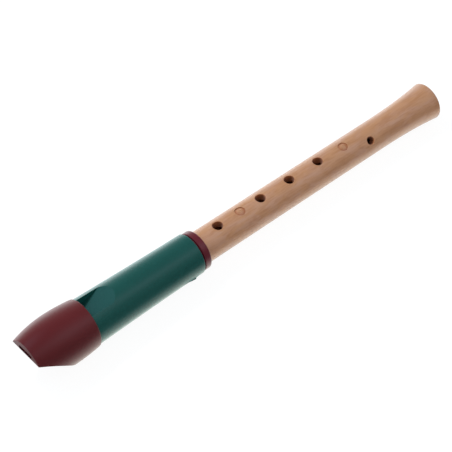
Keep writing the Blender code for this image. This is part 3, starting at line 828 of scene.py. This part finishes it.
def build_body(body):
    """The body as one turned outline, with a round patch in its grid for each hole and marked place.

    The bore has the outside's lines without those nearest the foot, which leaves room for its bevel.
    """
    long = BODY_HIGH.x - SHOULDER
    edge, tenon_edge = 0.35 * MM, 0.5 * MM
    tip, foot, tenon = BODY_LOW.x, BODY_HIGH.x, body.tenon_radius
    groove_start, groove_end = CORK_LOW.x - body.groove_gap, CORK_HIGH.x + body.groove_gap
    outside = np.concatenate((np.linspace(edge, body.waist_distance, 190),
                              np.linspace(body.waist_distance, long - body.foot_edge, 46)[1:]))
    foot_radius = float(body_radius(body, long - body.foot_edge))
    out_lines = SHOULDER + outside
    lines_at_bevel = 3
    in_lines = out_lines[:-lines_at_bevel][::-1]
    bore_x = np.concatenate((in_lines, np.linspace(SHOULDER, tip + edge, 22)))
    head_end = np.concatenate((
        ((tip, body.bore_top_radius + edge),), round_start(tip, tenon, tenon_edge),
        ((groove_start, tenon), (groove_start, body.groove_radius),
         (groove_end, body.groove_radius), (groove_end, tenon), (SHOULDER, tenon)),
        round_start(SHOULDER, body.top_radius, edge)[:-1]))
    foot_end = np.concatenate((
        round_end(foot, foot_radius, body.foot_edge, 8)[1:],
        ((foot, body.bore_foot_radius + body.bore_edge), (foot - body.bore_edge, body.bore_foot_radius))))
    outline = np.concatenate((
        head_end, outline_rows(out_lines, body_radius(body, outside)), foot_end,
        outline_rows(bore_x, bore_radius(body, bore_x)), ((tip, body.bore_top_radius + edge),)))
    turns = even_turns(body.steps)
    rows = turned(outline, turns)
    first_out, first_in = len(head_end), len(head_end) + len(outside) + len(foot_end)
    # The bore takes the inside's darker colour: oiled wood and painted shade
    inside = np.zeros(rows.shape[:2])
    inside[first_in:] = 1.0
    quads = grid_quads(*rows.shape[:2], closed=True)
    kept = np.ones(quads.shape[:2], bool)

    def outer(at):
        return body_radius(body, at - SHOULDER)

    def bore(at):
        return bore_radius(body, at)

    all_points, all_inside, all_quads = [rows.reshape(-1, 3)], [inside.ravel()], []
    count = len(all_points[0])
    for places, half_turn in ((FINGER_HOLES, HOLE_HALF_TURN), (HOLE_MARKS, MARK_HALF_TURN)):
        for distance, degrees, width in places:
            hole = (SHOULDER + distance * MM, math.radians(degrees), width * MM / 2)
            place, turn, radius = hole
            around = (turns, place, turn, radius + PATCH_MARGIN, math.radians(half_turn))
            row, column, low_rows, low_columns = window_edge(out_lines, *around)
            kept[np.ix_(first_out + low_rows, low_columns)] = False
            corners = out_lines[row], turn_from(turn, turns[column])
            if places is FINGER_HOLES:
                in_rows = window_edge(in_lines, *around)[2]
                kept[np.ix_(first_in + in_rows, low_columns)] = False
                points, darkening = drilled_hole(body, corners, outer, bore, hole)
            else:
                points, darkening = marked_place(body, corners, outer, hole)
            all_points.append(points.reshape(-1, 3))
            all_inside.append(darkening.ravel())
            all_quads.append(grid_quads(*points.shape[:2]).reshape(-1, 4) + count)
            count += len(all_points[-1])
    return make_object("recorder_body_turned", np.concatenate(all_points),
                       np.concatenate((quads[kept], *all_quads)),
                       np.concatenate(all_inside).astype(np.float32), WOOD_CREASE)


def dimmed(light):
    """A grey or a colour of light, as a colour in shares of the brightest one."""
    return np.broadcast_to(light, 3) / BRIGHTEST


class Value:
    """A number or colour in a node tree. Arithmetic on numbers adds Math nodes."""

    def __init__(self, nodes, socket):
        self.nodes = nodes
        self.socket = socket

    def __add__(self, other):
        return self.nodes.math("ADD", self, other)

    def __sub__(self, other):
        return self.nodes.math("SUBTRACT", self, other)

    def __rsub__(self, other):
        return self.nodes.math("SUBTRACT", other, self)

    def __mul__(self, other):
        return self.nodes.math("MULTIPLY", self, other)

    __radd__ = __add__
    __rmul__ = __mul__

    def between(self, low, high):
        """0 below the low value, 1 above the high one, and smooth between them."""
        return self.nodes.node("ShaderNodeMapRange", {"interpolation_type": "SMOOTHSTEP"},
                               {"Value": self, "From Min": low, "From Max": high})


class Nodes:
    """The node tree of a material or of a world, built up from expressions."""

    def __init__(self, owner, coordinates):
        owner.use_nodes = True
        self.tree = owner.node_tree
        self.place = self.node("ShaderNodeTexCoord", {}, {}, coordinates)

    def node(self, kind, settings, inputs, output=0):
        """Any node: its settings are set first, then its sockets get values or links."""
        made = self.tree.nodes.new(kind)
        for key, value in settings.items():
            if key == "stops":
                ramp = made.color_ramp
                while len(ramp.elements) < len(value):
                    ramp.elements.new(0.5)
                for element, (position, tint) in zip(ramp.elements, value):
                    element.position = position
                    element.color = (*tint, 1.0)
            else:
                setattr(made, key, value)
        for key, value in inputs.items():
            if isinstance(value, Value):
                self.tree.links.new(value.socket, made.inputs[key])
            else:
                made.inputs[key].default_value = value
        return Value(self, made.outputs[output])

    def feed(self, name, socket, value):
        """Link a value to a socket of one of the nodes that the tree starts with."""
        self.tree.links.new(value.socket, self.tree.nodes[name].inputs[socket])

    def math(self, operation, first, second=0.0):
        """A Math node on numbers."""
        return self.node("ShaderNodeMath", {"operation": operation}, {0: first, 1: second})

    def axis(self, name):
        """One coordinate of the place."""
        return self.node("ShaderNodeSeparateXYZ", {}, {"Vector": self.place}, name)

    def vector(self, operation, other):
        """A number worked out from the place and another vector."""
        return self.node("ShaderNodeVectorMath", {"operation": operation},
                         {0: self.place, 1: other}, "Value")

    def ray(self, kind):
        """1 for rays of a kind, 0 for the others."""
        return self.node("ShaderNodeLightPath", {}, {}, kind)

    def mix(self, factor, first, second, mode="MIX"):
        """One colour blended into another by a factor."""
        first, second = (value if isinstance(value, Value) else (*value, 1.0) for value in (first, second))
        return self.node("ShaderNodeMix", {"data_type": "RGBA", "blend_type": mode},
                         {0: factor, 6: first, 7: second}, 2)

    def shaded(self, colour, shade):
        """A colour times a number."""
        grey = self.node("ShaderNodeCombineColor", {}, {0: shade, 1: shade, 2: shade})
        return self.mix(1.0, colour, grey, "MULTIPLY")

    def light_ramp(self, place, reach, stops):
        """Colours of light over a number from minus its reach to its reach."""
        stops = [(0.5 + 0.5 * at / reach, dimmed(colour)) for at, colour in stops]
        return self.node("ShaderNodeValToRGB", {"stops": stops}, {0: place * (0.5 / reach) + 0.5})


class Finish(Nodes):
    """A material with a Principled shader."""

    def __init__(self, name, roughness, ior=1.42, sheen=0.0, sheen_tint=(1.0, 1.0, 1.0)):
        self.material = bpy.data.materials.new(name)
        super().__init__(self.material, "Object")
        shader = self.tree.nodes["Principled BSDF"]
        for socket, value in (("Roughness", roughness), ("IOR", ior), ("Sheen Weight", sheen),
                              ("Sheen Tint", (*sheen_tint, 1.0))):
            shader.inputs[socket].default_value = value

    def scaled(self, along, across):
        """Object coordinates about the bore's axis, in waves per metre along and across it."""
        return self.node("ShaderNodeMapping", {}, {
            "Vector": self.place, "Location": (0.0, 0.0, -AXIS_HEIGHT * across),
            "Scale": (along, across, across)})

    def noise(self, along, across, detail=2.0, roughness=0.5, distortion=0.0):
        """Soft noise from 0 to 1 with a number of waves per metre along and across the bore."""
        return self.node("ShaderNodeTexNoise", {}, {
            "Vector": self.scaled(along, across), "Scale": 1.0, "Detail": detail,
            "Roughness": roughness, "Distortion": distortion})

    def bump(self, height, distance):
        """Link a height, in shares of a distance, to the shader's normal."""
        self.link("Normal", self.node("ShaderNodeBump", {}, {"Height": height, "Distance": distance}))

    def link(self, socket, value):
        """Link a value to a socket of the shader."""
        self.feed("Principled BSDF", socket, value)


# Pointiness from which a moulded edge is paler (wear and a painted highlight), where it is palest, and how
# much its tint shows there
EDGE_POINTINESS = (0.53, 0.58)
EDGE_PALENESS = 0.35


def moulded_plastic(name, look, roughness, **veil):
    """Satin moulded plastic: faint clouds and flow streaks, a fine grain, and rounded edges paler with wear
    and a painted highlight.
    """
    finish = Finish(name, roughness, **veil)
    clouds = finish.noise(along=55.0, across=90.0, detail=3.0)
    streaks = finish.noise(along=60.0, across=700.0)
    grain = finish.noise(along=2600.0, across=2600.0)
    edges = finish.node("ShaderNodeNewGeometry", {}, {}, "Pointiness").between(*EDGE_POINTINESS)
    base = finish.shaded(look.colour, 0.90 + 0.14 * clouds + 0.05 * streaks)
    # Edges pale towards a colour that is partly wear and partly a painted highlight
    finish.link("Base Color", finish.mix(edges * EDGE_PALENESS, base, look.wear_and_highlight_colour))
    finish.link("Roughness", roughness - 0.06 + 0.08 * clouds + 0.05 * grain)
    finish.bump(grain + 0.5 * streaks, 0.006 * MM)
    return finish.material


def turned_wood(body):
    """Close-grained wood: soft patches, faint growth lines, fibres and short pores, and darker inside,
    partly oiled and partly painted shade.
    """
    finish = Finish("pale_turned_wood", roughness=0.38, ior=1.58, sheen=0.15, sheen_tint=(0.8, 0.95, 1.0))
    warm = finish.noise(along=70.0, across=230.0, distortion=0.6)
    brown = finish.noise(along=95.0, across=310.0, detail=3.0, distortion=0.6)
    bend = finish.noise(along=30.0, across=160.0)
    through = finish.axis("Z") * 330.0 + finish.axis("Y") * 520.0 + bend * 4.0
    lines = finish.math("FRACT", through)
    late = lines.between(0.30, 0.90) * (1 - lines.between(0.90, 1.0))
    fibre = finish.noise(along=130.0, across=1700.0, detail=3.0, roughness=0.6)
    pores = finish.noise(along=420.0, across=5200.0, detail=1.0).between(0.66, 0.78)
    dark = (0.55 * brown + 0.25 * fibre + 0.07 * late).between(0.36, 0.54)
    wood = finish.mix(warm.between(0.42, 0.62) * 0.75, body.colour, body.light_colour)
    wood = finish.mix(dark * 0.55, wood, body.dark_colour)
    wood = finish.mix(pores * 0.15, wood, body.dark_colour)
    # Holes, bore and marked places darken towards the inside's colour: painted shade, with oiled wood in
    # the holes and the bore
    inside = finish.node("ShaderNodeAttribute", {"attribute_name": "inside"}, {}, "Fac")
    finish.link("Base Color", finish.mix(inside.between(0.05, 0.9), wood, body.oil_and_shade_colour))
    finish.link("Roughness", 0.34 + 0.08 * fibre + 0.12 * pores)
    finish.bump(fibre * 0.6 + (1 - pores) * 0.4, 0.02 * MM)
    return finish.material


def lapping_cork(cork):
    """Cork sheet: granules of uneven brown, with dark pits between them."""
    finish = Finish("lapping_cork", roughness=0.85)
    granules = {"Vector": finish.scaled(900.0, 900.0), "Scale": 1.0}
    cells = finish.node("ShaderNodeTexVoronoi", {}, granules, "Color")
    tone = finish.node("ShaderNodeSeparateColor", {}, {"Color": cells}, 0)
    gaps = finish.node("ShaderNodeTexVoronoi", {"feature": "DISTANCE_TO_EDGE"}, granules, 0)
    speckle = finish.noise(along=3000.0, across=3000.0, detail=3.0)
    pits = 1 - gaps.between(0.0, 0.10)
    dark = (tone * 0.5 + speckle * 0.6).between(0.45, 0.85)
    base = finish.mix(dark * 0.55, cork.colour, cork.dark_colour)
    finish.link("Base Color", finish.mix(pits * 0.6, base, cork.dark_colour))
    finish.link("Roughness", 0.78 + 0.12 * speckle)
    finish.bump((1 - pits) * 0.7 + speckle * 0.3, 0.06 * MM)
    return finish.material


class RECORDER_OT_cap(bpy.types.Operator):
    """Build the beak cap with its hollowed underside and its slot."""

    bl_idname = "recorder.cap"
    bl_label = "Beak cap"

    def execute(self, context):
        scene = context.scene
        piece = build_cap(scene.recorder_cap, scene.recorder_windway)
        dress(piece, "head", "beak_cap", moulded_plastic("red_cap_plastic", scene.recorder_cap, 0.38))
        return {"FINISHED"}


class RECORDER_OT_block(bpy.types.Operator):
    """Finish the block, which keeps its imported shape."""

    bl_idname = "recorder.block"
    bl_label = "Block"

    def execute(self, context):
        node = frame["nodes"]["block"]
        node.data.materials.clear()
        node.data.materials.append(moulded_plastic("red_block_plastic", context.scene.recorder_cap, 0.45))
        return {"FINISHED"}


class RECORDER_OT_tube(bpy.types.Operator):
    """Build the head tube with its window, ramp, socket and lug."""

    bl_idname = "recorder.tube"
    bl_label = "Head tube"

    def execute(self, context):
        scene = context.scene
        piece = build_tube(scene.recorder_tube, scene.recorder_windway)
        finish = moulded_plastic("green_tube_plastic", scene.recorder_tube, 0.27, ior=1.36, sheen=0.21,
                                 sheen_tint=(0.05, 1.0, 0.92))
        dress(piece, "head", "head_tube", finish)
        return {"FINISHED"}


class RECORDER_OT_ring(bpy.types.Operator):
    """Build the ring between the joints."""

    bl_idname = "recorder.ring"
    bl_label = "Joint ring"

    def execute(self, context):
        ring = context.scene.recorder_ring
        dress(build_ring(ring), "body", "joint_ring", moulded_plastic("red_ring_plastic", ring, 0.32))
        return {"FINISHED"}


class RECORDER_OT_cork(bpy.types.Operator):
    """Build the cork lapping on the tenon."""

    bl_idname = "recorder.cork"
    bl_label = "Cork lapping"

    def execute(self, context):
        cork = context.scene.recorder_cork
        dress(build_cork(cork), "tenon_cork", "cork_lapping", lapping_cork(cork))
        return {"FINISHED"}


class RECORDER_OT_body(bpy.types.Operator):
    """Build the wooden body with its holes and marked places."""

    bl_idname = "recorder.body"
    bl_label = "Wooden body"

    def execute(self, context):
        body = context.scene.recorder_body
        dress(build_body(body), "body", "recorder_body", turned_wood(body))
        return {"FINISHED"}


class RECORDER_OT_stage(bpy.types.Operator):
    """Build the floor, the studio's light and the camera."""

    bl_idname = "recorder.stage"
    bl_label = "Stage"

    def execute(self, context):
        stage = context.scene.recorder_stage
        self.floor(context, stage)
        self.world(context, stage)
        self.lamps(context, stage)
        self.camera(context, stage)
        context.scene.view_settings.view_transform = "Standard"
        return {"FINISHED"}

    def floor(self, context, stage):
        """A plane that touches the cap's heel and the foot when it is pulled out."""
        pull = frame["joints"][0]
        travel = pull["range_m"][1]
        heel = Vector((TIP + context.scene.recorder_cap.heel_distance, 0.0, CAP_LOW.z - stage.floor_gap))
        foot = Vector((BODY_HIGH.x + travel, 0.0, BODY_LOW.z - stage.floor_gap))
        slope = (foot.z - heel.z) / (foot.x - heel.x)
        half = stage.floor_size / 2
        corners = np.array([(x, y, heel.z + slope * (x - heel.x)) for x, y in
                            ((-half, -half), (half, -half), (half, half), (-half, half))])
        floor = make_object("studio_floor", corners, np.array([[0, 1, 2, 3]]))
        material = bpy.data.materials.new("studio_floor")
        nodes = Nodes(material, "Object")
        nodes.tree.nodes.remove(nodes.tree.nodes["Principled BSDF"])
        centre, (inside, outside), left = LUG_SHADE
        # Reflections see a painted reflection of a lit floor, with painted shade under the object and a
        # painted shadow under the lug
        glow = nodes.light_ramp(nodes.axis("Y"), FLOOR_REACH, FLOOR_GLOW)
        shade = nodes.vector("DISTANCE", centre).between(inside, outside)
        glow = nodes.shaded(glow, left + (1 - left) * shade)
        light = nodes.mix(nodes.ray("Is Glossy Ray"), dimmed(FLOOR_WHITE), glow)
        glow = nodes.node("ShaderNodeEmission", {}, {"Color": light, "Strength": BRIGHTEST})
        shadowed = nodes.node("ShaderNodeBsdfDiffuse", {}, {"Color": FLOOR_SHADED})
        seen = nodes.node("ShaderNodeAddShader", {}, {0: shadowed, 1: glow})
        matt = nodes.node("ShaderNodeBsdfDiffuse", {}, {"Color": (*stage.floor_colour, 1.0)})
        eye = nodes.ray("Is Camera Ray")
        for kind in ("Is Glossy Ray", "Is Transmission Ray"):
            eye = nodes.math("MAXIMUM", eye, nodes.ray(kind))
        surface = nodes.node("ShaderNodeMixShader", {}, {0: eye, 1: matt, 2: seen})
        nodes.feed("Material Output", "Surface", surface)
        floor.data.materials.append(material)

    def world(self, context, stage):
        """Light that changes with the angle about the recorder's long axis, from far side to near."""
        world = bpy.data.worlds.new("studio")
        context.scene.world = world
        nodes = Nodes(world, "Generated")
        x = nodes.axis("X")
        angle = nodes.math("ARCTAN2", 0.0 - nodes.axis("Y"), nodes.axis("Z"))
        light = nodes.light_ramp(angle * math.degrees(1.0), 90.0, STUDIO_LIGHT)
        direction, (outside, inside), colour = COOL_PATCH
        patch = nodes.vector("DOT_PRODUCT", Vector(direction).normalized()).between(outside, inside)
        nodes.feed("Background", "Color", nodes.mix(patch, light, dimmed(colour)))
        level = 1.0 - nodes.math("ABSOLUTE", x).between(*ENDS_DIM) * (1 - stage.ends)
        start, end, left = BEAK_DIM
        beak = (1.0 - x.between(start, end)) * nodes.ray("Is Glossy Ray")
        level = level * (1.0 - beak * (1 - left))
        nodes.feed("Background", "Strength", level * (BRIGHTEST * stage.dome))

    def lamps(self, context, stage):
        """Soft lamps that reflections don't show: a key for the ramp's shadow, and a low near fill."""
        for name, (direction, power, tint) in LAMPS.items():
            lamp = bpy.data.lights.new(name, "AREA")
            lamp.shape = "DISK"
            lamp.energy = power * stage.lamps
            lamp.color = tint
            lamp.size = stage.lamp_width
            item = bpy.data.objects.new(name, lamp)
            context.scene.collection.objects.link(item)
            outward = Vector(direction).normalized()
            item.location = Vector((0.0, 0.0, AXIS_HEIGHT)) + stage.lamp_reach * outward
            item.rotation_euler = outward.to_track_quat("Z", "Y").to_euler()
            item.visible_glossy = False

    def camera(self, context, stage):
        """The photograph's view, from three directions and a place."""
        data = bpy.data.cameras.new("camera")
        data.lens = stage.focal_length
        data.sensor_width = 36.0
        camera = bpy.data.objects.new("camera", data)
        context.scene.collection.objects.link(camera)
        right = Vector(stage.view_along).normalized()
        back = right.cross(Vector(stage.view_up)).normalized()
        turned_axes = Matrix((right, back.cross(right), back)).transposed()
        camera.matrix_world = Matrix.Translation(stage.camera_place) @ turned_axes.to_4x4()
        context.scene.camera = camera


class RECORDER_PT_panel(bpy.types.Panel):
    """The recorder's pieces, in the order in which they are built."""

    bl_idname = "RECORDER_PT_panel"
    bl_label = "Recorder"
    bl_space_type = "VIEW_3D"
    bl_region_type = "UI"
    bl_category = "Recorder"

    def draw(self, context):
        for operator in OPERATORS:
            self.layout.operator(operator.bl_idname)
        for name in GROUPS:
            box = self.layout.box()
            group = getattr(context.scene, name)
            box.label(text=group.bl_rna.name)
            for key in group.bl_rna.properties.keys():
                if key not in ("rna_type", "name"):
                    box.prop(group, key)


GROUPS = {
    "recorder_cap": RecorderCap,
    "recorder_windway": RecorderWindway,
    "recorder_tube": RecorderTube,
    "recorder_ring": RecorderRing,
    "recorder_cork": RecorderCork,
    "recorder_body": RecorderBody,
    "recorder_stage": RecorderStage,
}
OPERATORS = (RECORDER_OT_cap, RECORDER_OT_block, RECORDER_OT_tube, RECORDER_OT_ring, RECORDER_OT_cork,
             RECORDER_OT_body, RECORDER_OT_stage)


def register():
    """Register the groups, the operators and the panel."""
    for name, group in GROUPS.items():
        bpy.utils.register_class(group)
        setattr(bpy.types.Scene, name, PointerProperty(type=group))
    for operator in (*OPERATORS, RECORDER_PT_panel):
        bpy.utils.register_class(operator)


def unregister():
    """Undo register in the opposite order."""
    for operator in reversed((*OPERATORS, RECORDER_PT_panel)):
        bpy.utils.unregister_class(operator)
    for name, group in reversed(GROUPS.items()):
        delattr(bpy.types.Scene, name)
        bpy.utils.unregister_class(group)


def main():
    """Build every piece and the stage."""
    for item in list(bpy.data.objects):
        if item.type in ("CAMERA", "LIGHT"):
            bpy.data.objects.remove(item, do_unlink=True)
    register()
    bpy.ops.recorder.cap()
    bpy.ops.recorder.block()
    bpy.ops.recorder.tube()
    bpy.ops.recorder.ring()
    bpy.ops.recorder.cork()
    bpy.ops.recorder.body()
    bpy.ops.recorder.stage()


if __name__ == "__main__":
    main()
